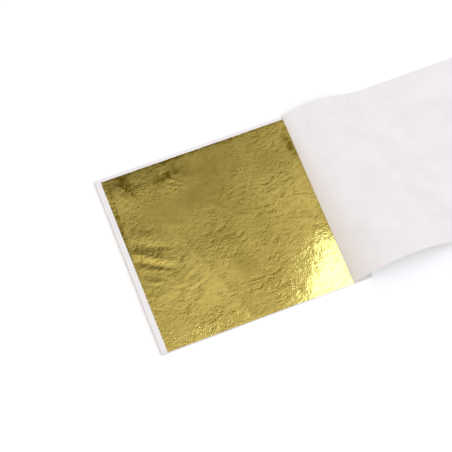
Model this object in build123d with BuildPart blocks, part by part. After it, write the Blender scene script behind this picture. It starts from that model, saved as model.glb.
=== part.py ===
from build123d import *
from collections import namedtuple
from math import copysign, cos, radians, sin
import os

os.makedirs("parts", exist_ok=True)

# The booklet lies open on a table. +X runs from the fold towards the turned front cover, +Y from
# the tail of the pages to their head, +Z up. Lengths are in millimetres, angles in degrees.
leaf_count = 25
leaf_width = 85.0
leaf_height = 80.0
leaf_thickness = 0.01
tissue_thickness = 0.05
cover_thickness = 0.25

# Tissue left bare past the leaf, at the open edge and at the head. At the fold and the tail they
# end together.
open_margin = 2.5
head_margin = 1.3

# Every sheet has a bound margin that the staples hold, and bends in the room beside it.
bound_width = 8.0
fold_room = 0.5

# Two wire staples, with the crown over the front and the legs clinched into the back.
staple_span = 44.0
crown_length = 10.0
wire_diameter = 0.4
wire_bend = 0.3
clinch_length = 3.5
wire_clearance = 0.05

# The front cover and the first tissue are turned over and curl back down to the table. The turned
# sheets lie this far apart, and this far off the first leaf when they are closed again.
turned_gap = 0.1
closed_gap = 0.05

# Each edge of the curl leaves the fold at its lift angle, bends over the brow to its fall angle
# and lands flat. The shares are of the page's width.
Curl = namedtuple("Curl", "lift brow fall rise_share crown_share landing_share")
tail_curl = Curl(62, 46, -34, rise_share=0.103, crown_share=0.434, landing_share=0.16)
head_curl = Curl(50, 14, -20, rise_share=0.04, crown_share=0.274, landing_share=0.0914)

# Worked out from the sizes above.
tissue_count = leaf_count + 1
page_width = leaf_width + open_margin
page_height = leaf_height + head_margin
pitch = tissue_thickness + leaf_thickness
leaf_top = cover_thickness + leaf_count * pitch
bound_top = leaf_top + tissue_thickness + cover_thickness
turned_thickness = cover_thickness + turned_gap + tissue_thickness
fold_z = leaf_top + closed_gap + turned_thickness
wire_radius = wire_diameter / 2
slot_width = wire_diameter + 2 * wire_clearance


def climb(length, start, end):
    """Return how far up an arc goes whose heading changes from start to end."""
    return length * (cos(radians(end)) - cos(radians(start))) / radians(start - end)


def advance(length, start, end):
    """Return how far along X an arc goes whose heading changes from start to end."""
    return length * (sin(radians(start)) - sin(radians(end))) / radians(start - end)


def bends_of(curl):
    """Return the stretches of a turned edge, each with its length and how far it turns."""
    rise = curl.rise_share * page_width
    crown = curl.crown_share * page_width
    landing = curl.landing_share * page_width
    climbed = climb(rise, curl.lift, curl.brow) + climb(crown, curl.brow, curl.fall)
    slope = (fold_z + climbed + climb(landing, curl.fall, 0)) / sin(radians(-curl.fall))
    flat = page_width - rise - crown - slope - landing
    return [
        (rise, curl.brow - curl.lift),
        (crown, curl.fall - curl.brow),
        (slope, 0),
        (landing, -curl.fall),
        (flat, 0),
    ]


def reach_of(curl):
    """Return how far from the fold a turned edge ends."""
    (rise, _), (crown, _), (slope, _), (landing, _), (flat, _) = bends_of(curl)
    return (
        fold_room
        + advance(rise, curl.lift, curl.brow)
        + advance(crown, curl.brow, curl.fall)
        + slope * cos(radians(curl.fall))
        + advance(landing, curl.fall, 0)
        + flat
    )


# The origin is under the middle of the open booklet.
spine_x = (page_width - reach_of(head_curl)) / 2
bound_x = spine_x + fold_room
tail_y = -page_height / 2
head_y = page_height / 2
staple_x = bound_x + bound_width / 2
staple_ys = [-staple_span / 2, staple_span / 2]


def write(part, name):
    """Label a finished piece and write its file."""
    part.label = name
    export_step(part, f"parts/{name}.step")


def flat_sheet(name, width, height, bottom, thickness):
    """Make a sheet that lies on the left of the fold, its corner at the fold and the tail."""
    with BuildPart() as sheet:
        with BuildSketch(Plane.XY.offset(bottom)):
            with Locations((spine_x, tail_y)):
                Rectangle(width, height, align=(Align.MAX, Align.MIN))
        extrude(amount=thickness)
    write(sheet.part, name)


def turned_line(curl, offset):
    """Draw the line at this height above the underside of a turned edge, and return its ends."""
    heading = curl.lift
    start = Vector(
        bound_x - offset * sin(radians(heading)), fold_z + offset * cos(radians(heading))
    )
    end = start
    for length, turn in bends_of(curl):
        ahead = Vector(cos(radians(heading)), sin(radians(heading)))
        if turn:
            radius = abs(length / radians(turn)) - copysign(offset, turn)
            stretch = JernArc(end, ahead, radius, turn)
        else:
            stretch = Line(end, end + ahead * length)
        end = stretch @ 1
        heading += turn
    return start, end


def turned_profile(curl, y, lower, upper):
    """Return a turned sheet's cross-section at y, between two heights above the underside."""
    with BuildSketch(Plane.XZ.offset(-y)) as profile:
        with BuildLine():
            under_start, under_end = turned_line(curl, lower)
            over_start, over_end = turned_line(curl, upper)
            Line(under_start, over_start)
            Line(under_end, over_end)
        make_face()
    return profile.sketch


def turned_sheet(name, lower, thickness):
    """Make a sheet that is turned over to the right, this far above the curl's underside."""
    upper = lower + thickness
    tail_profile = turned_profile(tail_curl, tail_y, lower, upper)
    head_profile = turned_profile(head_curl, head_y, lower, upper)
    with BuildPart() as sheet:
        loft([tail_profile, head_profile], ruled=True)
    write(sheet.part, name)


def bound_strip(bottom):
    """Return the outline of one sheet's bound margin, with the holes that the wire passes."""
    with BuildSketch(Plane.XY.offset(bottom)) as strip:
        with Locations((bound_x, tail_y)):
            Rectangle(bound_width, page_height, align=(Align.MIN, Align.MIN))
        for staple_y in staple_ys:
            leg_y = (crown_length - wire_diameter) / 2
            with Locations((staple_x, staple_y - leg_y), (staple_x, staple_y + leg_y)):
                Circle(slot_width / 2, mode=Mode.SUBTRACT)
            if bottom < wire_diameter + wire_clearance:
                middle = leg_y - clinch_length / 2
                with Locations((staple_x, staple_y - middle), (staple_x, staple_y + middle)):
                    SlotOverall(
                        clinch_length + slot_width, slot_width, rotation=90, mode=Mode.SUBTRACT
                    )
    return strip.sketch


def tissue_bottom(number):
    """Return the height of a tissue's underside, counted from 1 at the front of the booklet."""
    return cover_thickness + (tissue_count - number) * pitch


# The pages on the left: each leaf lies on the tissue behind it.
flat_sheet("back_cover", page_width, page_height, 0, cover_thickness)
for number in range(2, tissue_count + 1):
    bottom = tissue_bottom(number)
    flat_sheet(f"tissue_{number:02d}", page_width, page_height, bottom, tissue_thickness)
    flat_sheet(
        f"leaf_{number - 1:02d}", leaf_width, leaf_height, bottom + tissue_thickness, leaf_thickness
    )

# The sheets turned over to the right: the front cover, with the first tissue on it.
turned_sheet("front_cover", 0, cover_thickness)
turned_sheet("tissue_01", cover_thickness + turned_gap, tissue_thickness)

# The bound margins, in the order in which they are stapled.
with BuildPart() as back_cover_margin:
    extrude(bound_strip(0), amount=cover_thickness)
write(back_cover_margin.part, "back_cover_margin")

with BuildPart() as tissue_margins:
    for number in range(1, tissue_count + 1):
        extrude(bound_strip(tissue_bottom(number)), amount=tissue_thickness)
write(tissue_margins.part, "tissue_margins")

with BuildPart() as front_cover_margin:
    extrude(bound_strip(leaf_top + tissue_thickness), amount=cover_thickness)
write(front_cover_margin.part, "front_cover_margin")


def staple(name, middle_y):
    """Make a clinched wire staple, its crown on the front margin and its legs flush behind."""
    leg_y = (crown_length - wire_diameter) / 2
    low = wire_radius
    high = bound_top + wire_radius
    with BuildPart() as wire:
        with BuildLine(Plane.YZ.offset(staple_x)):
            FilletPolyline(
                (middle_y - leg_y + clinch_length, low),
                (middle_y - leg_y, low),
                (middle_y - leg_y, high),
                (middle_y + leg_y, high),
                (middle_y + leg_y, low),
                (middle_y + leg_y - clinch_length, low),
                radius=wire_bend,
            )
        with BuildSketch(Plane.XZ.offset(leg_y - clinch_length - middle_y)):
            with Locations((staple_x, low)):
                Circle(wire_radius)
        sweep()
    write(wire.part, name)


staple("tail_staple", staple_ys[0])
staple("head_staple", staple_ys[1])

print(f"spine at x {spine_x:.3f}, leaf top {leaf_top:.3f}, bound top {bound_top:.3f}")
print(f"cover fold at x {bound_x:.3f}, z {fold_z:.3f}")
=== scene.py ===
"""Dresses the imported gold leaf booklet: its tissues, leaves, covers and staples, and a studio."""

import logging
import math
from dataclasses import dataclass, field
from enum import Enum
from functools import cache
from typing import Callable, Iterable

import bmesh
import bpy
from mathutils import Euler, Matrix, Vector, noise
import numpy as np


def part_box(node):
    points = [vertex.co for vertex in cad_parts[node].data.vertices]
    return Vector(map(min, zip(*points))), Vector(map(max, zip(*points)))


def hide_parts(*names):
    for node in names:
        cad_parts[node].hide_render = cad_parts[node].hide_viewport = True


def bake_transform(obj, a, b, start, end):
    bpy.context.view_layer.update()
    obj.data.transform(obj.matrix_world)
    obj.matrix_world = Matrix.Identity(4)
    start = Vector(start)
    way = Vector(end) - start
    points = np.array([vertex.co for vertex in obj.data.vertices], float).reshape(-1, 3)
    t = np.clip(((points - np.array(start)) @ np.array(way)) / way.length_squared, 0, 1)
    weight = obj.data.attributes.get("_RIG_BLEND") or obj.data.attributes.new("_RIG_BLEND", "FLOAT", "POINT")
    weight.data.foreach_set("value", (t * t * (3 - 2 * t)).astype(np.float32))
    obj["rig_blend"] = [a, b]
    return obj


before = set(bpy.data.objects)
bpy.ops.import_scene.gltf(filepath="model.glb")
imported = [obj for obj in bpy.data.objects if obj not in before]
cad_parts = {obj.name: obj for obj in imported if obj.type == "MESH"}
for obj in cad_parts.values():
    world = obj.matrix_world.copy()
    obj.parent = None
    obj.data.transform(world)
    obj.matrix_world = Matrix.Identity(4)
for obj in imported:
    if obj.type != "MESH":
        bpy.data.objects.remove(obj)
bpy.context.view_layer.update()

log = logging.getLogger("booklet")

# The booklet lies open on the table: +X runs from the fold towards the turned front cover, +Y from
# the tail of the pages to their head, +Z up. Sizes in the classes are in millimetres.
MM = 0.001
UP = Vector((0, 0, 1)).freeze()
UV_SPAN = 100.0
TISSUE_COUNT = 26

# Edges that turn by more than this many degrees stay crisp.
CRISP_ANGLE = 35

# What the noise vectors are drawn from, so that each run gives the same booklet.
NOISE_SEED = 7

# The side of a crease that is painted brighter in the leaf's base colour: down towards the tail and a little
# to the right.
LIGHT_SIDE = (0.45, -0.89)

# The numbers that a leaf's mesh carries for its finish; the second is a tone of painted shade and highlight
# from the slopes of its creases.
LEAF_MARKS = ("crumple", "painted_slope_shade", "glitter")

Colour = tuple[float, float, float, float]
Span = tuple[float, float]
Triple = tuple[float, float, float]
Socket = bpy.types.NodeSocket
Inputs = dict[str | int, Socket | float | Triple | Colour]
Piece = bpy.types.Object
Place = Callable[[float, float], tuple[Vector, Vector]]
Marked = Callable[[float, float], tuple[float, ...]]


class Slot(Enum):
    """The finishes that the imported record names."""

    TISSUE = "tissue"
    GOLD_LEAF = "gold_leaf"
    COVER = "cover"
    STAPLE_WIRE = "staple_wire"


def colour(red: int, green: int, blue: int) -> Colour:
    """Turn a screen colour into a linear one.

    Args:
        red: Red, from 0 to 255.
        green: Green, from 0 to 255.
        blue: Blue, from 0 to 255.

    Returns:
        The linear colour, with an alpha of 1.
    """
    shares = (channel / 255 for channel in (red, green, blue))
    linear = (s / 12.92 if s <= 0.04045 else ((s + 0.055) / 1.055) ** 2.4 for s in shares)
    return (*linear, 1.0)


def smooth_step(value: float, low: float, high: float) -> float:
    """Ease from 0 at low to 1 at high."""
    share = min(1.0, max(0.0, (value - low) / (high - low)))
    return share * share * (3 - 2 * share)


def packed_box(node: str) -> tuple[Vector, Vector]:
    """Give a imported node's lowest and highest corner, in millimetres."""
    low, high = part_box(node)
    return low / MM, high / MM


def clouding(across: float, along: float, size: Span, draw: float) -> float:
    """Give a smooth noise, from about -1 to 1, whose patches have a size across and along."""
    return noise.noise(Vector((across / size[0], along / size[1], draw)))


def warping(across: float, along: float, size: float, draw: float) -> Vector:
    """Give a smooth noise vector, whose numbers go from about -1 to 1."""
    return noise.noise_vector(Vector((across / size, along / size, draw)))


def rotated(across: float, along: float, degrees: float) -> Span:
    """Give how far a step goes ahead and aside of a line that is turned by these degrees."""
    cos, sin = math.cos(math.radians(degrees)), math.sin(math.radians(degrees))
    return across * cos + along * sin, along * cos - across * sin


@dataclass(frozen=True)
class Pattern:
    """A noise: how fine it is, its finer layers, its warp, its scale on each axis and its turn."""

    scale: float
    detail: float = 2.0
    roughness: float = 0.5
    distortion: float = 0.0
    stretch: Triple | None = None
    turn: float = 0.0


class Nodes:
    """A tree of shader nodes."""

    def __init__(self, tree: bpy.types.NodeTree) -> None:
        """Start with a tree."""
        self.tree = tree

    def fill(self, node: bpy.types.Node, inputs: Inputs) -> None:
        """Link or set a node's inputs.

        Args:
            node: The node.
            inputs: What each input is linked or set to.
        """
        for name, value in inputs.items():
            if isinstance(value, Socket):
                self.tree.links.new(value, node.inputs[name])
            else:
                node.inputs[name].default_value = value

    def add(self, kind: str, inputs: Inputs | None = None) -> bpy.types.Node:
        """Add a node.

        Args:
            kind: Its kind.
            inputs: What its inputs are linked or set to.

        Returns:
            The node.
        """
        node = self.tree.nodes.new(kind)
        self.fill(node, inputs or {})
        return node

    def spread(self, source: Socket, to: Span, over: Span = (0.3, 0.7)) -> Socket:
        """Map a pattern's values at both ends of a range onto the ends of another."""
        ends = zip(("From Min", "From Max", "To Min", "To Max"), (*over, *to), strict=True)
        return self.add("ShaderNodeMapRange", {"Value": source, **dict(ends)}).outputs["Result"]

    def combined(self, operation: str, first: Socket, second: Socket | float) -> Socket:
        """Work out one value from two.

        Args:
            operation: The sum that is done.
            first: The first value.
            second: The second value.

        Returns:
            The socket of the result.
        """
        node = self.add("ShaderNodeMath", {0: first, 1: second})
        node.operation = operation
        return node.outputs["Value"]


class Shading(Nodes):
    """A material's nodes, read on the sheet's own UV map or on Object coordinates."""

    def __init__(self, name: str, on_sheet: bool = True) -> None:
        """Start a material.

        Args:
            name: The material's name.
            on_sheet: Whether patterns follow the sheet's UV map.
        """
        self.material = bpy.data.materials.new(name)
        self.material.use_nodes = True
        super().__init__(self.material.node_tree)
        self.coordinates = self.add("ShaderNodeTexCoord").outputs["UV" if on_sheet else "Object"]

    def grain(self, pattern: Pattern, shift: Span = (0.0, 0.0)) -> Socket:
        """Add a noise pattern.

        Args:
            pattern: The pattern.
            shift: How far a stretched pattern is shifted, across and along.

        Returns:
            The socket of the pattern's value.
        """
        vector = self.coordinates
        if pattern.stretch:
            turn = (0.0, 0.0, math.radians(pattern.turn))
            moved = {"Location": (*shift, 0.0), "Rotation": turn, "Scale": pattern.stretch}
            vector = self.add("ShaderNodeMapping", {"Vector": vector, **moved}).outputs["Vector"]
        inputs = {"Vector": vector, "Scale": pattern.scale, "Detail": pattern.detail}
        inputs |= {"Roughness": pattern.roughness, "Distortion": pattern.distortion}
        return self.add("ShaderNodeTexNoise", inputs).outputs["Fac"]

    def painted_slope_shade(self, pattern: Pattern, step: float) -> Socket:
        """Give how far the slopes of a stretched pattern face the light side, as painted shade and
        highlight.

        Args:
            pattern: The pattern.
            step: The distance over which a slope is taken, on the UV map.

        Returns:
            The socket of the fall over that distance, around 0.
        """
        heights = []
        for steps in (0.0, step):
            east, north = LIGHT_SIDE[0] * steps * pattern.stretch[0], LIGHT_SIDE[1] * steps
            height = self.grain(pattern, rotated(east, north, -pattern.turn))
            heights.append(self.combined("PINGPONG", height, 0.5))
        return self.combined("SUBTRACT", *heights)

    def between(self, share: Socket, first: Colour, second: Colour) -> Socket:
        """Mix two colours by a pattern.

        Args:
            share: The pattern.
            first: The colour where it is 0.
            second: The colour where it is 1.

        Returns:
            The socket of the mixed colour.
        """
        # The node's sockets for colours have no names of their own.
        node = self.add("ShaderNodeMix", {"Factor": share, 6: first, 7: second})
        node.data_type = "RGBA"
        return node.outputs[2]

    def attribute(self, name: str) -> Socket:
        """Read a number that the mesh carries.

        Args:
            name: The number's name.

        Returns:
            The socket of the number.
        """
        node = self.add("ShaderNodeAttribute")
        node.attribute_name = name
        return node.outputs["Fac"]

    def raised(self, height: Socket, depth: float, beneath: Socket | None = None) -> Socket:
        """Turn a height pattern into surface relief.

        Args:
            height: The pattern of heights.
            depth: The height of the relief, in millimetres.
            beneath: The relief that this one is laid over.

        Returns:
            The socket of the normal.
        """
        inputs = {"Distance": depth * MM, "Height": height}
        if beneath:
            inputs["Normal"] = beneath
        return self.add("ShaderNodeBump", inputs).outputs["Normal"]

    def surface(self, **sockets: Socket | float | Colour) -> bpy.types.Material:
        """Set the shader's sockets and return the material.

        Args:
            sockets: Each socket's name, with _ for a space, and its link or value.

        Returns:
            The finished material.
        """
        inputs = {name.replace("_", " "): value for name, value in sockets.items()}
        self.fill(self.tree.nodes["Principled BSDF"], inputs)
        return self.material


@dataclass(frozen=True)
class TissuePaper:
    """Thin white tissue with short fibres and a cloudy, uneven body."""

    name: str = "tissue_paper"
    thin: Colour = colour(231, 226, 228)
    thick: Colour = colour(240, 237, 238)
    clouds: Pattern = Pattern(9.0, 4.0, 0.62)
    fibres: Pattern = Pattern(60.0, 3.0, 0.6, 1.4, (1.0, 0.35, 1.0), 18.0)
    hairs: Pattern = Pattern(150.0, 2.0, 0.7, 2.0, (0.4, 1.0, 1.0), -35.0)
    cloud_share: float = 0.75
    fibre_shares: Span = (0.2, 0.34)
    fibre_depth: float = 0.012
    hair_depth: float = 0.006
    roughness: Span = (0.7, 0.86)
    gloss: float = 0.3

    def make(self) -> bpy.types.Material:
        """Build the tissue's material.

        Returns:
            The material.
        """
        s = Shading(self.name)
        clouds = s.spread(s.grain(self.clouds), (0.0, 1.0))
        fibres, hairs = s.grain(self.fibres), s.grain(self.hairs)
        streaks = s.spread(fibres, self.fibre_shares, (0.0, 1.0))
        body = s.combined("ADD", s.combined("MULTIPLY", clouds, self.cloud_share), streaks)
        return s.surface(
            Base_Color=s.between(body, self.thin, self.thick),
            Roughness=s.spread(hairs, self.roughness),
            Specular_IOR_Level=self.gloss,
            Normal=s.raised(fibres, self.fibre_depth, s.raised(hairs, self.hair_depth)),
        )


@dataclass(frozen=True)
class CoverPaper:
    """Heavier uncoated paper, a little warmer than the tissue."""

    name: str = "cover_paper"
    low: Colour = colour(229, 226, 222)
    high: Colour = colour(239, 237, 233)
    clouds: Pattern = Pattern(160.0, 4.0, 0.6)
    tooth: Pattern = Pattern(2600.0, 3.0, 0.65)
    fibres: Pattern = Pattern(900.0, distortion=1.5, stretch=(1.0, 0.3, 1.0), turn=12.0)
    tooth_depth: float = 0.012
    fibre_depth: float = 0.01
    roughness: Span = (0.66, 0.82)
    gloss: float = 0.35

    def make(self) -> bpy.types.Material:
        """Build the cover's material.

        Returns:
            The material.
        """
        s = Shading(self.name, on_sheet=False)
        clouds = s.spread(s.grain(self.clouds), (0.0, 1.0))
        tooth, fibres = s.grain(self.tooth), s.grain(self.fibres)
        return s.surface(
            Base_Color=s.between(clouds, self.low, self.high),
            Roughness=s.spread(tooth, self.roughness),
            Specular_IOR_Level=self.gloss,
            Normal=s.raised(tooth, self.tooth_depth, s.raised(fibres, self.fibre_depth)),
        )


@dataclass(frozen=True)
class BeatenGold:
    """Leaf metal: bright, thin and finely crumpled, its base colour running from a painted shaded gold to a
    painted lit gold.
    """

    name: str = "beaten_gold"
    # The base colour's two ends: painted shade where creases face away from the light side, painted
    # highlight where they face it.
    painted_shade: Colour = colour(135, 113, 22)
    painted_lit: Colour = colour(244, 224, 127)
    clouds: Pattern = Pattern(9.0, 5.0, 0.62, 0.4)
    cloud_tones: Span = (-0.13, 0.13)
    # The coarse and fine patterns are not relief: their slopes towards the light side paint shade and
    # highlight into the base colour.
    coarse: Pattern = Pattern(24.0, 4.0, 0.66, 0.3, (1 / 1.7, 1.0, 1.0), -8.0)
    coarse_step: float = 0.005
    coarse_falls: Span = (-0.16, 0.16)
    coarse_tones: Span = (-1.05, 1.05)
    fine: Pattern = Pattern(90.0, 3.0, 0.66, 0.3, (1 / 1.5, 1.0, 1.0), 14.0)
    fine_step: float = 0.0025
    fine_falls: Span = (-0.22, 0.22)
    fine_tones: Span = (-1.1, 1.1)
    patches: Pattern = Pattern(24.0)
    patch_strengths: Span = (0.35, 1.35)
    # Painted glints: small specks lightened in the base colour.
    painted_glints: Pattern = Pattern(240.0, 1.0, 0.7)
    painted_glint_peaks: Span = (0.57, 0.66)
    creases: Pattern = Pattern(48.0, 3.0, 0.6, 0.3)
    grain: Pattern = Pattern(190.0, 1.0, 0.5, 0.3)
    depth: float = 0.014
    roughness: Span = (0.02, 0.04)

    def make(self) -> bpy.types.Material:
        """Build the leaf's material.

        Returns:
            The material.
        """
        s = Shading(self.name)
        crumple, painted_slope_shade, glitter = (s.attribute(mark) for mark in LEAF_MARKS)
        clouds = s.spread(s.grain(self.clouds), self.cloud_tones)
        # Painted shade and highlight: where these noise slopes face the light side the base colour is
        # lighter, elsewhere darker.
        coarse = s.painted_slope_shade(self.coarse, self.coarse_step)
        coarse = s.spread(coarse, self.coarse_tones, self.coarse_falls)
        fine = s.spread(s.painted_slope_shade(self.fine, self.fine_step), self.fine_tones, self.fine_falls)
        patchy = s.spread(s.grain(self.patches), self.patch_strengths)
        # Painted glints: the pattern's peaks lighten the tone into small bright specks.
        painted_glints = s.spread(s.grain(self.painted_glints), (0.0, 1.0), self.painted_glint_peaks)
        small = s.combined("MULTIPLY", s.combined("ADD", coarse, fine), patchy)
        small = s.combined("MULTIPLY", s.combined("ADD", small, painted_glints), crumple)
        # The mesh's second mark adds the painted shade and highlight of the leaf's creases.
        tone = s.combined("ADD", s.combined("ADD", small, clouds), painted_slope_shade)
        creased = s.combined("PINGPONG", s.grain(self.creases), 0.5)
        grain = s.grain(self.grain)
        relief = s.raised(s.combined("MULTIPLY", creased, crumple), self.depth)
        relief = s.raised(s.combined("MULTIPLY", grain, glitter), self.depth, relief)
        # The base colour is mixed from the painted shaded and lit golds by the tone, which is mostly painted
        # shade and highlight.
        return s.surface(
            Base_Color=s.between(tone, self.painted_shade, self.painted_lit),
            Metallic=1.0,
            Roughness=s.spread(grain, self.roughness),
            Normal=relief,
        )


@dataclass(frozen=True)
class StapleWire:
    """Bright drawn wire with fine lines along it."""

    name: str = "staple_wire"
    dark: Colour = colour(186, 186, 190)
    light: Colour = colour(214, 214, 217)
    lines: Pattern = Pattern(1500.0, 3.0, 0.6, stretch=(6.0, 0.5, 6.0))
    spots: Pattern = Pattern(900.0)
    line_depth: float = 0.006
    roughness: Span = (0.24, 0.4)

    def make(self) -> bpy.types.Material:
        """Build the wire's material.

        Returns:
            The material.
        """
        s = Shading(self.name, on_sheet=False)
        lines = s.grain(self.lines)
        return s.surface(
            Base_Color=s.between(s.spread(lines, (0.0, 1.0)), self.dark, self.light),
            Metallic=1.0,
            Roughness=s.spread(s.grain(self.spots), self.roughness),
            Normal=s.raised(lines, self.line_depth),
        )


FINISHES = {
    Slot.TISSUE: TissuePaper,
    Slot.GOLD_LEAF: BeatenGold,
    Slot.COVER: CoverPaper,
    Slot.STAPLE_WIRE: StapleWire,
}


@cache
def finish(slot: Slot) -> bpy.types.Material:
    """Give a slot's material, which is made once."""
    return FINISHES[slot]().make()


@dataclass
class Sheet:
    """A thin sheet: a fine grid that is laid in place and given its thickness."""

    name: str
    columns: int
    rows: int
    thickness: float
    slot: Slot
    page: int = 0
    uv_step: Span = (0.0, 0.0)
    marks: tuple[str, ...] = ()

    def build(self, place: Place, sizes: Span, marked: Marked | None = None) -> Piece:
        """Lay the sheet in place.

        Args:
            place: Gives the point at a share of the width and height, and which way is up there.
            sizes: The sheet's width and height, for its UV map.
            marked: Gives the numbers of the marks at a share of the width and height.

        Returns:
            The sheet's object.
        """
        grid = bmesh.new()
        bmesh.ops.create_grid(grid, x_segments=self.columns, y_segments=self.rows, size=0.5)
        uv_map = grid.loops.layers.uv.new("Sheet")
        for name in self.marks:
            grid.verts.layers.float.new(name)
        layers = [grid.verts.layers.float[name] for name in self.marks]
        for face in grid.faces:
            for loop in face.loops:
                across, along = loop.vert.co.x + 0.5, loop.vert.co.y + 0.5
                across = 1 - across if self.page % 2 else across
                loop[uv_map].uv = (
                    self.uv_step[0] * self.page + across * sizes[0] / UV_SPAN,
                    self.uv_step[1] * self.page + along * sizes[1] / UV_SPAN,
                )
        rises: dict[tuple[float, ...], Vector] = {}
        for vert in grid.verts:
            across, along = vert.co.x + 0.5, vert.co.y + 0.5
            if marked:
                for layer, number in zip(layers, marked(across, along), strict=True):
                    vert[layer] = number
            point, up = place(across, along)
            vert.co = point * MM
            rises[tuple(vert.co)] = up * (self.thickness * MM)
        lifted = bmesh.ops.extrude_face_region(grid, geom=grid.faces[:], use_keep_orig=True)
        for item in lifted["geom"]:
            if isinstance(item, bmesh.types.BMVert):
                item.co += rises[tuple(item.co)]
        bmesh.ops.recalc_face_normals(grid, faces=grid.faces[:])
        return finished(self.name, grid, self.slot)


def placed(name: str, data: bpy.types.ID) -> Piece:
    """Add an object to the scene.

    Args:
        name: The object's name.
        data: Its mesh, light or camera.

    Returns:
        The object.
    """
    piece = bpy.data.objects.new(name, data)
    bpy.context.scene.collection.objects.link(piece)
    return piece


def finished(name: str, shape: bmesh.types.BMesh, slot: Slot) -> Piece:
    """Turn a bmesh into a dressed object.

    Args:
        name: The object's name.
        shape: The bmesh, which is freed.
        slot: The finish.

    Returns:
        The object, linked to the scene.
    """
    for face in shape.faces:
        face.smooth = True
    for edge in shape.edges:
        if edge.is_manifold and edge.calc_face_angle() > math.radians(CRISP_ANGLE):
            edge.smooth = False
    mesh = bpy.data.meshes.new(name)
    shape.to_mesh(mesh)
    shape.free()
    mesh.materials.append(finish(slot))
    piece = placed(name, mesh)
    log.info("%s: %d faces", name, len(mesh.polygons))
    return piece


@dataclass(frozen=True)
class Swell:
    """A soft rise of the pages, in millimetres from the leaf's open edge and its tail."""

    across: float
    along: float
    width: float
    length: float
    turn: float
    height: float

    def at(self, across: float, along: float) -> float:
        """Give the rise at these distances from the leaf's open edge and from its tail."""
        ahead, aside = rotated(across - self.across, along - self.along, self.turn)
        return self.height * math.exp(-((ahead / self.length) ** 2 + (aside / self.width) ** 2))


@dataclass(frozen=True)
class Wrinkles:
    """A patch of wrinkles that run roughly the same way."""

    patch: Swell
    turn: float
    spacing: float
    run: float
    height: float
    crest: float = 0.6

    def at(self, across: float, along: float, seed: float) -> float:
        """Give the wrinkles' height at a place.

        Args:
            across: The distance from the leaf's open edge.
            along: The distance from the tail.
            seed: Which leaf's wrinkles these are.

        Returns:
            The height, never below 0.
        """
        spot = rotated(across, along, self.turn)
        ridge = self.crest - abs(clouding(*spot, (self.run, self.spacing), seed + self.turn))
        return self.height * self.patch.at(across, along) * max(0.0, ridge)


@dataclass(frozen=True)
class Crease:
    """A single fold line that narrows and fades towards its end, in millimetres on the leaf."""

    start: Span
    end: Span
    width: float
    height: float
    narrowing: float = 0.5
    foot: float = 1.6
    coming: Span = (-0.1, 0.15)
    going: Span = (0.55, 1.1)

    def at(self, across: float, along: float) -> float:
        """Give the crease's height at a place.

        Args:
            across: The distance from the leaf's open edge.
            along: The distance from the tail.

        Returns:
            The height, below 0 in a valley.
        """
        run_x, run_y = self.end[0] - self.start[0], self.end[1] - self.start[1]
        east, north = across - self.start[0], along - self.start[1]
        length = math.hypot(run_x, run_y)
        share = (east * run_x + north * run_y) / length**2
        aside = (east * run_y - north * run_x) / length
        if not self.coming[0] < share < self.going[1]:
            return 0.0
        width = self.width * (1 - self.narrowing * min(1.0, max(0.0, share)))
        fade = smooth_step(share, *self.coming) * (1 - smooth_step(share, *self.going))
        return self.height * fade * max(0.0, 1 - abs(aside) / (self.foot * width))


@dataclass(frozen=True)
class Strength:
    """A strength that drifts over the leaf and is higher or lower in a few spots."""

    plain: float
    swing: float
    size: float
    draw: float
    least: float
    most: float
    spots: tuple[Swell, ...]

    def at(self, across: float, along: float) -> float:
        """Give the strength at a place.

        Args:
            across: The distance from the leaf's open edge.
            along: The distance from the tail.

        Returns:
            The strength, from least to most.
        """
        plain = self.plain + self.swing * clouding(across, along, (self.size,) * 2, self.draw)
        strength = plain + sum(spot.at(across, along) for spot in self.spots)
        return min(self.most, max(self.least, strength))


def swells_of(*rows: tuple[float, ...]) -> tuple[Swell, ...]:
    """Make a swell of each row."""
    return tuple(Swell(*row) for row in rows)


def creases_of(*rows: tuple[float, ...]) -> tuple[Crease, ...]:
    """Make a crease of each row."""
    return tuple(Crease(row[:2], row[2:4], *row[4:]) for row in rows)


def wrinkles_of(*rows: tuple[float, ...]) -> tuple[Wrinkles, ...]:
    """Make a patch of wrinkles of each row."""
    return tuple(Wrinkles(Swell(*row[:5], 1.0), *row[5:]) for row in rows)


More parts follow.
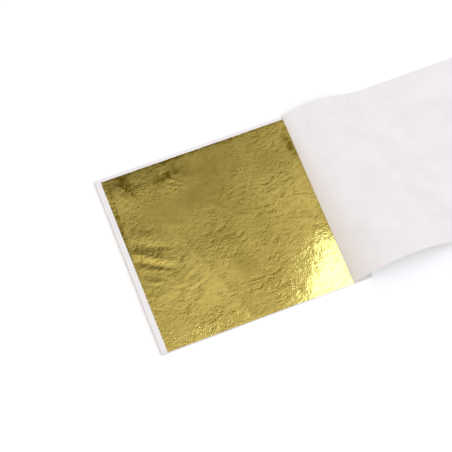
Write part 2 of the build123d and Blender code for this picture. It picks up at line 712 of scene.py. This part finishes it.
@dataclass
class Relief:
    """How the pages swell and how the first leaf is crumpled."""

    fold_x: float
    tail_y: float
    leaf_width: float = 85.0
    open_rise: float = 0.35
    rise_edge: float = 44.0
    rise_slant: float = 0.36
    rise_run: float = 46.0
    head_flattening: float = 0.8
    head_zone: Span = (28.0, 66.0)
    wave_height: float = 0.05
    wave_size: Span = (26.0, 21.0)
    wave_zone: Span = (3.0, 45.0)
    bend_size: float = 7.0
    crease_bend: float = 0.9
    held_run: float = 12.0
    crumple_run: float = 7.0
    open_zone: Span = (-2.0, 2.0)
    # How the leaf's slopes and its painted shade spots paint shade and highlight into its base colour.
    slope_step: float = 0.5
    contrast: float = 14.0
    plain_tone: float = 0.62
    dark_room: float = 0.4
    fold_share: float = 0.6
    # How the painted shade spots are broken up by noise.
    painted_shade_breakup: Span = (0.8, 1.1)
    painted_shade_breakup_size: Span = (2.2, 1.2)
    lift_off: float = 0.015
    warps: tuple[Span, ...] = ((11.0, 1.8), (4.0, 0.7))
    crumples: tuple[Span, ...] = ((9.0, 0.01), (4.6, 0.012), (2.4, 0.009), (1.3, 0.006))
    swells: tuple[Swell, ...] = swells_of(
        (37, 22, 6, 24, -70, -0.07), (8, 72, 6, 9, 0, 0.1), (1.8, 65, 0.9, 18, 90, 0.05),
    )
    creases: tuple[Crease, ...] = creases_of(
        (4.1, 52.8, 14.9, 49.2, 1.7, 0.03), (3.2, 48.4, 21.0, 41.0, 2.1, -0.055),
        (1.0, 44.9, 19.2, 35.2, 2.0, 0.1), (1.4, 40.9, 18.1, 32.1, 2.0, -0.07),
        (2.0, 38.4, 16.3, 31.2, 1.2, 0.05), (1.5, 35.3, 11.0, 29.6, 1.3, -0.045),
        (1.8, 30.4, 12.8, 28.1, 1.1, 0.035), (1.4, 24.6, 15.6, 22.6, 1.4, 0.03),
        (0.6, 19.4, 5.8, 16.8, 0.8, -0.04), (14.7, 25.6, 25.3, 31.0, 1.4, 0.03),
        (20.9, 21.8, 29.3, 24.5, 1.4, -0.03), (39.0, 57.0, 50.0, 46.0, 1.2, 0.014),
        (48.0, 46.5, 66.0, 41.0, 1.2, 0.016), (49.0, 32.4, 62.0, 31.8, 1.1, 0.01),
        (16.0, 54.0, 31.0, 48.6, 1.8, 0.015),
    )
    wrinkles: tuple[Wrinkles, ...] = wrinkles_of(
        (12, 37, 13, 17, 90, -32, 2.4, 9, 0.05), (14, 22, 8, 14, 0, -4, 2.2, 8, 0.05),
        (58, 43, 13, 24, -12, -14, 2.4, 6, 0.014), (8, 73, 7, 9, -60, -62, 2.6, 9, 0.1),
        (27, 72, 6, 9, -30, -44, 2.4, 6, 0.1), (82, 67, 5, 8, -75, -74, 2.4, 7, 0.08),
        (73, 48, 8, 20, -85, -60, 2.4, 5, 0.012),
    )
    # Painted shade: patches and lines painted darker in the first leaf's base colour. Rows with a height
    # below 0 are painted highlights, among them the paler patch where the lamp is reflected.
    painted_shade_spots: tuple[Swell, ...] = swells_of(
        (9.2, 75.5, 2.2, 7.5, -72, 0.62), (3.0, 76.0, 1.6, 5.0, 90, 0.1),
        (18, 74, 3.0, 5, 90, -0.12), (47, 60, 11, 14, 0, 0.11), (42, 79.9, 0.9, 55, 0, 0.45),
        (27, 73, 3.0, 9, 2, 0.6), (31, 79, 1.4, 11, 0, 0.35), (61, 78.6, 1.3, 9, 0, 0.3),
        (83.0, 68, 1.9, 5.0, -78, 0.75), (84.9, 44, 0.5, 26, 90, 0.4),
        (1.6, 65, 0.7, 15, 86.5, 0.5), (0.1, 58, 0.4, 26, 90, 0.4), (3.8, 66, 1.2, 12, 88, -0.18),
        (27, 28, 10, 17, -66, -0.27), (18, 8, 12, 22, -8, -0.13), (44, 27, 5, 17, -68, 0.1),
        (9, 47, 2.2, 8, -22, -0.15), (37, 39, 8, 9, 0, 0.2), (10, 25, 6, 7, 0, -0.2),
        (70, 46, 8, 14, -60, -0.24), (77, 12, 19, 26, 72, -0.15), (84, 44, 8, 12, 90, -0.5),
        (20, 20, 7, 18, 0, -0.12), (58, 12, 6, 12, 70, 0.14), (28.2, 26, 2.4, 24, -70, -0.22),
        (30.0, 24, 1.1, 22, -70, -0.16), (26, 20, 7, 10, 0, -0.13), (33.8, 22, 2.8, 24, -70, 0.13),
        (32.2, 24, 1.1, 22, -70, 0.14),
    )
    crumpling: Strength = Strength(
        plain=0.74, swing=0.8, size=15, draw=9.1, least=0.1, most=1.5,
        spots=swells_of(
            (45, 66, 13, 24, 0, -0.7), (22, 60, 9, 16, -30, -0.45), (83, 6, 6, 12, 48, -0.5),
            (67, 48, 12, 11, 80, 0.5), (22, 33, 10, 10, 0, 0.45), (17, 12, 10, 24, -4, 0.45),
        ),
    )
    glitter: Strength = Strength(
        plain=0.2, swing=0.3, size=12, draw=4.6, least=0.1, most=4.2,
        spots=swells_of(
            (57, 15, 6, 16, 42, 0.2), (82, 40, 6, 16, 90, -0.12), (16, 3, 7, 28, -4, 1.9),
            (5, 4, 5, 14, 0, 1.5), (55, 52, 7, 14, -50, 0.7),
        ),
    )

    def leaf_place(self, x: float, y: float) -> Span:
        """Give the distances from the leaf's open edge and from the tail."""
        return x - self.fold_x + self.leaf_width, y - self.tail_y

    def swell(self, x: float, y: float) -> float:
        """Give how far the first page stands above flat.

        Args:
            x: The place across the page.
            y: The place along the page.

        Returns:
            The height, never below 0.
        """
        across, along = self.leaf_place(x, y)
        free = smooth_step(self.rise_edge - self.rise_slant * along - across, 0.0, self.rise_run)
        flat = 1 - self.head_flattening * smooth_step(along, *self.head_zone)
        wave = self.wave_height * (1 + clouding(across, along, self.wave_size, draw=3.7))
        wave *= smooth_step(self.leaf_width - across, *self.wave_zone)
        return self.open_rise * free * flat + wave + self.folds(x, y)

    def folds(self, x: float, y: float) -> float:
        """Give the height of the first page's own folds and creases.

        Args:
            x: The place across the page.
            y: The place along the page.

        Returns:
            The height, below 0 in a valley.
        """
        across, along = self.leaf_place(x, y)
        bend = warping(across, along, self.bend_size, draw=2.2) * self.crease_bend
        held = smooth_step(self.leaf_width - across, 0.0, self.held_run)
        held *= smooth_step(across, *self.open_zone)
        folds = sum(swell.at(across, along) for swell in self.swells)
        across, along = across + bend.x, along + bend.y
        return held * (folds + sum(crease.at(across, along) for crease in self.creases))

    def crumple(self, x: float, y: float, seed: float, gain: float) -> float:
        """Give the leaf's own creases above its tissue.

        Args:
            x: The place across the page.
            y: The place along the page.
            seed: Which leaf's creases these are.
            gain: How high they are.

        Returns:
            The height, never below 0.
        """
        spot = self.leaf_place(x, y)
        held = smooth_step(self.leaf_width - spot[0], 0.0, self.crumple_run)
        (size, reach), (small_size, small_reach) = self.warps
        warp = warping(*spot, size, seed) * reach
        warp += warping(*spot, small_size, seed + 2) * small_reach
        across, along = spot[0] + warp.x, spot[1] + warp.y
        height = 0.0
        for size, depth in self.crumples:
            height += depth * abs(clouding(across, along, (size, size), seed + size))
        height *= self.crumpling.at(*spot)
        height += sum(patch.at(across, along, seed) for patch in self.wrinkles)
        return self.lift_off + gain * held * height

    def painted_shade(self, across: float, along: float) -> float:
        """Give how much the painted shade darkens the first leaf at a place; below 0 it is a painted
        highlight.
        """
        painted_shade_breakup = self.painted_shade_breakup[0] + self.painted_shade_breakup[1] * clouding(across, along, self.painted_shade_breakup_size, draw=5.5)
        return painted_shade_breakup * sum(spot.at(across, along) for spot in self.painted_shade_spots)

    def painted_slope_shade(self, x: float, y: float, seed: float) -> float:
        """Give the painted shade and highlight of the leaf's creases: lighter where they face the light
        side, darker where they face away.

        Args:
            x: The place across the page.
            y: The place along the page.
            seed: Which leaf's creases these are, 0 for the first.

        Returns:
            A tone around plain_tone, which it has where the leaf is flat.
        """
        ahead = (x + LIGHT_SIDE[0] * self.slope_step, y + LIGHT_SIDE[1] * self.slope_step)
        fall = self.crumple(x, y, seed, 1.0) - self.crumple(*ahead, seed, 1.0)
        painted_shade = 0.0
        if seed == 0:
            fall += self.fold_share * (self.folds(x, y) - self.folds(*ahead))
            # The painted shade spots take the tone down, or up where they are painted highlights.
            painted_shade = self.painted_shade(*self.leaf_place(x, y))
        turn = math.tanh(fall / self.slope_step * self.contrast)
        room = 1 - self.plain_tone if turn > 0 else self.dark_room
        return self.plain_tone + room * turn - painted_shade


@dataclass
class PageBlock:
    """The pages on the left of the fold: each a tissue with its leaf, over the back cover."""

    relief: Relief
    bend_from: float = -3.0
    fold_columns: float = 0.2
    fold_width: float = 6.0
    fold_gap: float = 0.01
    tissue_grids: tuple[tuple[int, int], ...] = ((155, 120), (62, 48))
    tissue_draw: Triple = (1.7, 4.2, 0.5)
    tissue_drift: Span = (0.22, 0.088)
    tissue_uv_step: Span = (0.004, 0.006)
    worn_zone: float = 3.0
    wear_depth: float = 0.16
    wear_size: float = 6.0
    wear_step: float = 3.3
    leaf_grids: tuple[tuple[int, int], ...] = ((216, 204), (130, 110), (48, 40))
    leaf_draw: Triple = (2.9, 7.7, 1.5)
    leaf_drift: float = 0.5
    leaf_uv_step: Span = (0.005, 0.005)
    seed_step: float = 5.3
    hidden_gain: float = 0.1
    bites: tuple[Span, ...] = ((1.3, 0.16), (7.0, 0.1))
    bitten_zone: float = 1.2
    cover_grid: tuple[int, int] = (50, 30)
    fold_grid: tuple[int, int] = (3, 24)

    def width_share(self, across: float, width: float) -> float:
        """Crowd the grid's columns towards the fold.

        Args:
            across: The share of the columns.
            width: The sheet's width.

        Returns:
            The share of the width.
        """
        far = 1 - self.fold_width / width
        plain = 1 - self.fold_columns
        if across < plain:
            return far * across / plain
        return far + (1 - far) * (across - plain) / self.fold_columns

    def rank(self, number: int) -> float:
        """Give how much of the first page's swell a page has."""
        return (TISSUE_COUNT - number) / (TISSUE_COUNT - 2)

    @staticmethod
    def bend(piece: Piece, first: str, second: str, reach: Span) -> None:
        """Let a piece bend from one body to another between two places across."""
        start, end = (Vector((x * MM, 0, 0)) for x in reach)
        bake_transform(piece, first, second, start=start, end=end)

    def hinge(self, piece: Piece, number: int) -> None:
        """Let a page's sheet bend at the fold."""
        behind = "page_03" if number == 2 else "back_cover"
        self.bend(piece, f"page_{number:02d}", behind, (self.bend_from, self.relief.fold_x))

    @staticmethod
    def drift(number: int, draw: Triple) -> Vector:
        """Give how far off true a page's sheet lies, which is nothing for the first page's."""
        row = Vector((number * draw[0], *draw[1:]))
        return Vector() if number == 2 else noise.noise_vector(row)

    def tissue(self, number: int) -> None:
        """Build one tissue.

        Args:
            number: The page's number.
        """
        node = f"tissue_{number:02d}"
        low, high = packed_box(node)
        width, height = high.x - low.x, high.y - low.y
        shift = self.drift(number, self.tissue_draw)
        out, aside = abs(shift.x) * self.tissue_drift[0], shift.y * self.tissue_drift[1]

        def place(across: float, along: float) -> tuple[Vector, Vector]:
            """Give the tissue's underside.

            Args:
                across: The share of the columns.
                along: The share of the height.

            Returns:
                The point and which way is up.
            """
            free = 1 - self.width_share(across, width)
            x, y = high.x - width * free, low.y + height * along
            z = low.z + self.rank(number) * self.relief.swell(x, y)
            worn = self.wear(x - low.x, y, number)
            return Vector((x + (worn + out) * free, y - aside * free, z)), UP

        sheet = Sheet(
            f"page_{number:02d}_tissue",
            *self.tissue_grids[min(number, 3) - 2],
            high.z - low.z,
            Slot.TISSUE,
            number,
            self.tissue_uv_step,
        )
        piece = sheet.build(place, (width, height))
        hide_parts(node)
        self.hinge(piece, number)

    def wear(self, from_edge: float, y: float, number: int) -> float:
        """Give how far a sheet is worn in, at a distance from its open edge."""
        near = self.wear_depth * max(0.0, 1 - from_edge / self.worn_zone)
        return near * abs(noise.noise(Vector((y / self.wear_size, number * self.wear_step, 1.0))))

    def leaf(self, number: int) -> None:
        """Build the leaf on one tissue.

        Args:
            number: The page's number.
        """
        node = f"leaf_{number - 1:02d}"
        low, high = packed_box(node)
        width, height = high.x - low.x, high.y - low.y
        first = number == 2
        seed, gain = (0.0, 1.0) if first else (number * self.seed_step, self.hidden_gain)
        shift = self.drift(number, self.leaf_draw) * self.leaf_drift

        def place(across: float, along: float) -> tuple[Vector, Vector]:
            """Give the leaf's underside.

            Args:
                across: The share of the columns.
                along: The share of the height.

            Returns:
                The point and which way is up.
            """
            free = 1 - (across if first else self.width_share(across, width))
            x, y = high.x - width * free, low.y + height * along
            lift = self.rank(number) * self.relief.swell(x, y)
            z = low.z + lift + self.relief.crumple(x, y, seed, gain)
            inset = self.ragged(x, y, low, high, number)
            east = inset.x + abs(shift.x) * free
            north = inset.y + abs(shift.y) * (1 - along) * free
            return Vector((x + east, y + north, z)), UP

        def marked(across: float, along: float) -> tuple[float, ...]:
            """Give the numbers that the leaf's mesh carries.

            Args:
                across: The share of the width.
                along: The share of the height.

            Returns:
                The numbers, in the order of LEAF_MARKS.
            """
            x, y = high.x - width * (1 - across), low.y + height * along
            spot = self.relief.leaf_place(x, y)
            # The painted shade and highlight of the leaf's creases.
            painted_slope_shade = self.relief.painted_slope_shade(x, y, seed)
            return self.relief.crumpling.at(*spot), painted_slope_shade, self.relief.glitter.at(*spot)

        sheet = Sheet(
            f"page_{number:02d}_leaf",
            *self.leaf_grids[min(number, 4) - 2],
            high.z - low.z,
            Slot.GOLD_LEAF,
            number,
            self.leaf_uv_step,
            LEAF_MARKS,
        )
        piece = sheet.build(place, (width, height), marked)
        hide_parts(node)
        self.hinge(piece, number)

    def ragged(self, x: float, y: float, low: Vector, high: Vector, number: int) -> Vector:
        """Give how far the leaf's cut edge is nibbled inwards at a place.

        Args:
            x: The place across the page.
            y: The place along the page.
            low: The leaf's lowest corner.
            high: The leaf's highest corner.
            number: The page's number.

        Returns:
            The step inwards.
        """
        (size, depth), (large, large_depth) = self.bites
        bite = depth * abs(noise.noise(Vector((x / size, y / size, number))))
        bite += large_depth * abs(noise.noise(Vector((x / large, y / large, number + 0.5))))
        step = Vector()
        for distance, way in ((x - low.x, (1, 0)), (y - low.y, (0, 1)), (high.y - y, (0, -1))):
            step += Vector((*way, 0)) * bite * max(0.0, 1 - distance / self.bitten_zone)
        return step

    def back_cover(self) -> None:
        """Build the back cover, up to its margin."""
        low, high = packed_box("back_cover")
        margin = packed_box("back_cover_margin")[0]
        width, height = margin.x - low.x, high.y - low.y

        def place(across: float, along: float) -> tuple[Vector, Vector]:
            """Give the cover's underside at a share of its columns and height."""
            x = margin.x - width * (1 - self.width_share(across, width))
            return Vector((x, low.y + height * along, low.z)), UP

        sheet = Sheet("back_cover_card", *self.cover_grid, high.z - low.z, Slot.COVER)
        piece = sheet.build(place, (width, height))
        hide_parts("back_cover")
        self.bend(piece, "back_cover", "binding", (self.relief.fold_x, margin.x))

    def folds(self) -> None:
        """Build the short strips where the tissues enter the bound margin."""
        margin = packed_box("back_cover_margin")[0]
        columns, rows = self.fold_grid
        strips = bmesh.new()
        uv_map = strips.loops.layers.uv.new("Sheet")
        for number in range(2, TISSUE_COUNT + 1):
            low, high = packed_box(f"tissue_{number:02d}")
            left = high.x + self.fold_gap
            made = bmesh.ops.create_grid(strips, x_segments=columns, y_segments=rows, size=0.5)
            size = Vector((margin.x - left, high.y - low.y, 1)) * MM
            centre = Vector(((margin.x + left) / 2, (high.y + low.y) / 2, low.z)) * MM
            bmesh.ops.scale(strips, vec=size, verts=made["verts"])
            bmesh.ops.translate(strips, vec=centre, verts=made["verts"])
        lifted = bmesh.ops.extrude_face_region(strips, geom=strips.faces[:], use_keep_orig=True)
        tops = [item for item in lifted["geom"] if isinstance(item, bmesh.types.BMVert)]
        bmesh.ops.translate(strips, vec=UP * (high.z - low.z) * MM, verts=tops)
        for face in strips.faces:
            for loop in face.loops:
                loop[uv_map].uv = loop.vert.co.xy / (UV_SPAN * MM) + Vector((0.5, 0.5))
        bmesh.ops.recalc_face_normals(strips, faces=strips.faces[:])
        piece = finished("tissue_folds", strips, Slot.TISSUE)
        self.bend(piece, "back_cover", "binding", (self.relief.fold_x, margin.x))

    def build(self) -> None:
        """Build every page, the back cover and the fold."""
        self.back_cover()
        self.folds()
        for number in range(TISSUE_COUNT, 1, -1):
            self.tissue(number)
            self.leaf(number)


@dataclass(frozen=True)
class Stretch:
    """A part of a turned edge: where it starts, its heading, its length and how far it turns."""

    x: float
    z: float
    heading: float
    length: float
    turn: float

    def at(self, share: float) -> Triple:
        """Give the place and heading at a share of the length.

        Args:
            share: The share, from 0 to 1.

        Returns:
            The x, the z and the heading in radians.
        """
        start = math.radians(self.heading)
        turned = math.radians(self.turn) * share
        heading = start + turned
        if abs(self.turn) < 1e-6:
            step = self.length * share
            return self.x + step * math.cos(start), self.z + step * math.sin(start), heading
        radius = self.length / math.radians(self.turn)
        return (
            self.x + radius * (math.sin(heading) - math.sin(start)),
            self.z - radius * (math.cos(heading) - math.cos(start)),
            heading,
        )


@dataclass(frozen=True)
class Curl:
    """One edge of the turned sheets: it leaves the fold, bends over a brow and lands flat."""

    lift: float
    brow: float
    fall: float
    rise: float
    crown: float
    landing: float

    def stretches(self, x: float, z: float, width: float) -> list[Stretch]:
        """Lay out the underside of this edge.

        Args:
            x: Where the fold is.
            z: How high the fold is.
            width: The sheet's width.

        Returns:
            The stretches from the fold to the free edge.
        """
        rise = Stretch(x, z, self.lift, self.rise, self.brow - self.lift)
        crown = Stretch(*rise.at(1)[:2], self.brow, self.crown, self.fall - self.brow)
        top = crown.at(1)
        foot = Stretch(0, 0, self.fall, self.landing, -self.fall).at(1)[1]
        slope_length = (top[1] + foot) / math.sin(math.radians(-self.fall))
        slope = Stretch(top[0], top[1], self.fall, slope_length, 0)
        landing = Stretch(*slope.at(1)[:2], self.fall, self.landing, -self.fall)
        flat = width - self.rise - self.crown - slope_length - self.landing
        return [rise, crown, slope, landing, Stretch(*landing.at(1)[:2], 0, flat, 0)]


@dataclass(frozen=True)
class Ply:
    """A turned sheet: its thickness, and its middle's height over the curl and in the margin."""

    thickness: float
    offset: float
    margin_z: float


@dataclass(frozen=True)
class FoldBend:
    """Where a turned sheet starts to bend as it leaves the fold, and over what length."""

    x: float
    z: float
    length: float
    heading: float = 56.0


@dataclass
class TurnedSheets:
    """The front cover and the first tissue, turned over to the right."""

    tail: Curl = Curl(62, 46, -34, rise=9.0125, crown=37.975, landing=14.0)
    head: Curl = Curl(50, 14, -20, rise=3.5, crown=23.975, landing=7.9975)
    fold_z: float = 2.2
    width: float = 87.5
    cover_thickness: float = 0.25
    tissue_thickness: float = 0.05
    gap: float = 0.1
    hairpin_columns: tuple[int, ...] = (12, 1)
    curl_columns: tuple[int, ...] = (14, 52, 20, 24, 34)
    rows: int = 96
    wave_height: float = 0.3
    wave_swing: float = 0.5
    wave_size: Span = (30.0, 24.0)
    wave_zone: Span = (4.0, 40.0)
    edge_lift: float = 0.5
    edge_zone: Span = (-12.0, 2.0)
    card_bend: FoldBend = FoldBend(1.0, 1.95, 0.16)
    pin_bend: FoldBend = FoldBend(0.95, 1.8, 0.28)
    tissue_bend: FoldBend = FoldBend(0.605, 2.376, 4.0)
    margin_x: float = field(init=False)
    tail_y: float = field(init=False)
    head_y: float = field(init=False)
    margin_top: float = field(init=False)

    def __post_init__(self) -> None:
        """Read where the bound margin is."""
        low, high = packed_box("front_cover_margin")
        self.margin_x, self.tail_y, self.head_y = low.x, low.y, high.y
        self.margin_top = high.z

    def hairpin(self, curl: Curl, ply: Ply) -> list[Stretch]:
        """Lay out the tight turn from the bound margin to the foot of a curl.

        Args:
            curl: The edge.
            ply: The sheet.

        Returns:
            A bend and a short straight.
        """
        lift = math.radians(curl.lift)
        across = -ply.offset * math.sin(lift)
        up = self.fold_z + ply.offset * math.cos(lift) - ply.margin_z
        radius = (up * math.cos(lift) - across * math.sin(lift)) / (1 + math.cos(lift))
        straight = (up - radius * (1 + math.cos(lift))) / math.sin(lift)
        turn = curl.lift - 180
        bend = Stretch(self.margin_x, ply.margin_z, 180, radius * math.radians(-turn), turn)
        return [bend, Stretch(*bend.at(1)[:2], curl.lift, straight, 0)]

    def wave(self, across: float, along: float) -> float:
        """Give the gentle waves' height at these distances from the fold and the tail."""
        swing = self.wave_swing * clouding(across, along, self.wave_size, draw=6.4)
        return smooth_step(across, *self.wave_zone) * (self.wave_height + swing)

    def sheet(
        self, name: str, slot: Slot, ply: Ply, pin: bool = True, curled: bool = True
    ) -> Piece:
        """Build a turned sheet, its hairpin, or both.

        Args:
            name: The piece's name.
            slot: The finish.
            ply: The sheet.
            pin: Whether the hairpin is part of the piece.
            curled: Whether the curl is part of the piece.

        Returns:
            The piece.
        """
        counts = (self.hairpin_columns if pin else ()) + (self.curl_columns if curled else ())
        lines = []
        for curl in (self.tail, self.head):
            line = [(part, 0.0) for part in self.hairpin(curl, ply)] if pin else []
            if curled:
                parts = curl.stretches(self.margin_x, self.fold_z, self.width)
                line += [(part, ply.offset) for part in parts]
            lines.append(line)
        columns = sum(counts)
        travelled = [sum(part.length for part, _ in lines[0][:i]) for i in range(len(counts))]
        edge_lift = 0.0 if pin else self.edge_lift

        def place(across: float, along: float) -> tuple[Vector, Vector]:
            """Give the sheet's underside.

            Args:
                across: The share of the columns.
                along: The share of the height.

            Returns:
                The point and which way is up.
            """
            column = round(across * columns)
            index = 0
            while index < len(counts) - 1 and column > counts[index]:
                column -= counts[index]
                index += 1
            share = column / counts[index]
            ends = []
            for line in lines:
                part, above = line[index]
                x, z, heading = part.at(share)
                ends.append((x - above * math.sin(heading), z + above * math.cos(heading), heading))
            x, z, heading = (tail + (head - tail) * along for tail, head in zip(*ends, strict=True))
            up = Vector((-math.sin(heading), 0, math.cos(heading)))
            gone = travelled[index] + share * lines[0][index][0].length
            high = self.wave(gone, along * (self.head_y - self.tail_y)) if curled else 0.0
            high += edge_lift * smooth_step(gone - self.width, *self.edge_zone)
            point = Vector((x, self.tail_y + (self.head_y - self.tail_y) * along, z))
            return point + up * (high - ply.thickness / 2), up

        made = Sheet(name, columns, self.rows, ply.thickness, slot)
        return made.build(place, (self.width, self.head_y - self.tail_y))

    @staticmethod
    def blend_at_fold(piece: Piece, first: str, second: str, bend: FoldBend) -> None:
        """Let a piece bend as it leaves the fold.

        Args:
            piece: The piece.
            first: The body that its foot follows.
            second: The body that the rest follows.
            bend: Where it bends.
        """
        start = Vector((bend.x, 0, bend.z))
        heading = math.radians(bend.heading)
        end = start + Vector((math.cos(heading), 0, math.sin(heading))) * bend.length
        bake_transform(piece, first, second, start=start * MM, end=end * MM)

    def build(self) -> None:
        """Build the front cover and the first tissue with their folds."""
        cover, tissue = self.cover_thickness, self.tissue_thickness
        ply = Ply(cover, cover / 2, self.margin_top - cover / 2)
        card = self.sheet("front_cover_card", Slot.COVER, ply)
        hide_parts("front_cover")
        self.blend_at_fold(card, "binding", "front_cover", self.card_bend)
        ply = Ply(tissue, cover + self.gap + tissue / 2, self.margin_top - cover - tissue / 2)
        pin = self.sheet("first_tissue_fold", Slot.TISSUE, ply, curled=False)
        self.blend_at_fold(pin, "binding", "front_cover", self.pin_bend)
        page = self.sheet("first_tissue", Slot.TISSUE, ply, pin=False)
        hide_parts("tissue_01")
        self.blend_at_fold(page, "front_cover", "tissue_01", self.tissue_bend)


@dataclass
class Binding:
    """The bound margins and the two staples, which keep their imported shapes."""

    dressed: tuple[tuple[str, Slot], ...] = (
        ("tissue_margins", Slot.TISSUE),
        ("front_cover_margin", Slot.COVER),
        ("back_cover_margin", Slot.COVER),
        ("tail_staple", Slot.STAPLE_WIRE),
        ("head_staple", Slot.STAPLE_WIRE),
    )

    def build(self) -> None:
        """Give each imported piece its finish."""
        for node, slot in self.dressed:
            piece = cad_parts[node]
            for index in range(len(piece.material_slots)):
                piece.material_slots[index].material = finish(slot)
            log.info("%s: dressed", node)


@dataclass
class Studio:
    """A pale table, a soft lamp to the right, an even surround and the camera, in metres."""

    lamp_centre: Triple = (0.2885, -0.2698, 1.1)
    lamp_size: Span = (0.54, 0.9)
    lamp_turn: float = -28.4
    lamp_radiance: float = 1.9
    lamp_colour: Triple = (0.6, 0.74, 1.0)
    surround_colour: Colour = (1.08, 1.02, 0.933, 1.0)
    surround_level: float = 0.83
    dark_patch: Triple = (0.12, 0.47, 0.873)
    dark_depth: float = 0.72
    dark_falloff: float = 30.0
    lens: float = 121.86
    sensor_width: float = 36.0
    sight: Span = (0.01, 20.0)
    camera_place: Triple = (-0.15801, -0.16942, 0.62315)
    camera_turn: Triple = (18.0289, -4.1150, -21.7901)
    floor_reach: float = 3.0
    floor_drop: float = 0.00003
    floor_roughness: float = 0.9
    floor_colour: Colour = (0.9, 0.9, 0.9, 1.0)
    floor_seen: Colour = (1.08, 1.08, 1.08, 1.0)

    def table(self) -> None:
        """Make the table top."""
        shape = bmesh.new()
        bmesh.ops.create_grid(shape, x_segments=1, y_segments=1, size=self.floor_reach)
        bmesh.ops.translate(shape, vec=Vector((0, 0, -self.floor_drop)), verts=shape.verts[:])
        mesh = bpy.data.meshes.new("table_top")
        shape.to_mesh(mesh)
        shape.free()
        s = Shading("table_top", on_sheet=False)
        rays = s.add("ShaderNodeLightPath").outputs
        seen = s.combined("MAXIMUM", rays["Is Camera Ray"], rays["Is Glossy Ray"])
        seen = s.combined("MAXIMUM", seen, rays["Is Transmission Ray"])
        tone = s.between(seen, self.floor_colour, self.floor_seen)
        s.surface(Base_Color=tone, Roughness=self.floor_roughness, Specular_IOR_Level=0.0)
        mesh.materials.append(s.material)
        placed("table_top", mesh)

    def lamp(self) -> None:
        """Hang the soft lamp."""
        data = bpy.data.lights.new("soft_lamp", "AREA")
        data.shape = "RECTANGLE"
        data.size, data.size_y = self.lamp_size
        data.color = self.lamp_colour
        level = self.lamp_radiance / self.lamp_colour[0]
        data.energy = level * math.pi * self.lamp_size[0] * self.lamp_size[1]
        lamp = placed("soft_lamp", data)
        lamp.location = self.lamp_centre
        lamp.rotation_euler = (0, 0, math.radians(self.lamp_turn))

    def surround(self) -> None:
        """Light the surround evenly, but for a dim patch of ceiling."""
        world = bpy.data.worlds.new("studio")
        world.use_nodes = True
        bpy.context.scene.world = world
        nodes = Nodes(world.node_tree)
        seen = nodes.add("ShaderNodeTexCoord").outputs["Generated"]
        towards = nodes.add("ShaderNodeVectorMath", {0: seen, 1: self.dark_patch})
        towards.operation = "DOT_PRODUCT"
        clamp = nodes.add("ShaderNodeClamp", {"Value": towards.outputs["Value"]})
        dimmed = nodes.combined("POWER", clamp.outputs["Result"], self.dark_falloff)
        levels = (self.surround_level, self.surround_level - self.dark_depth)
        level = nodes.spread(dimmed, levels, (0.0, 1.0))
        background = {"Color": self.surround_colour, "Strength": level}
        nodes.fill(nodes.tree.nodes["Background"], background)

    def camera(self) -> None:
        """Set the camera where the photograph was taken from."""
        data = bpy.data.cameras.new("camera")
        data.lens = self.lens
        data.sensor_width = self.sensor_width
        data.clip_start, data.clip_end = self.sight
        camera = placed("camera", data)
        camera.location = self.camera_place
        camera.rotation_euler = Euler([math.radians(angle) for angle in self.camera_turn])
        bpy.context.scene.camera = camera

    def build(self) -> None:
        """Set up the whole studio."""
        bpy.context.scene.view_settings.view_transform = "Standard"
        self.table()
        self.lamp()
        self.surround()
        self.camera()


def main() -> None:
    """Build the studio and every part of the booklet."""
    noise.seed_set(NOISE_SEED)
    Studio().build()
    tail, spine = packed_box("tissue_02")
    Binding().build()
    PageBlock(Relief(fold_x=spine.x, tail_y=tail.y)).build()
    TurnedSheets().build()


if __name__ == "__main__":
    logging.basicConfig(level=logging.INFO, format="%(name)s: %(message)s")
    main()
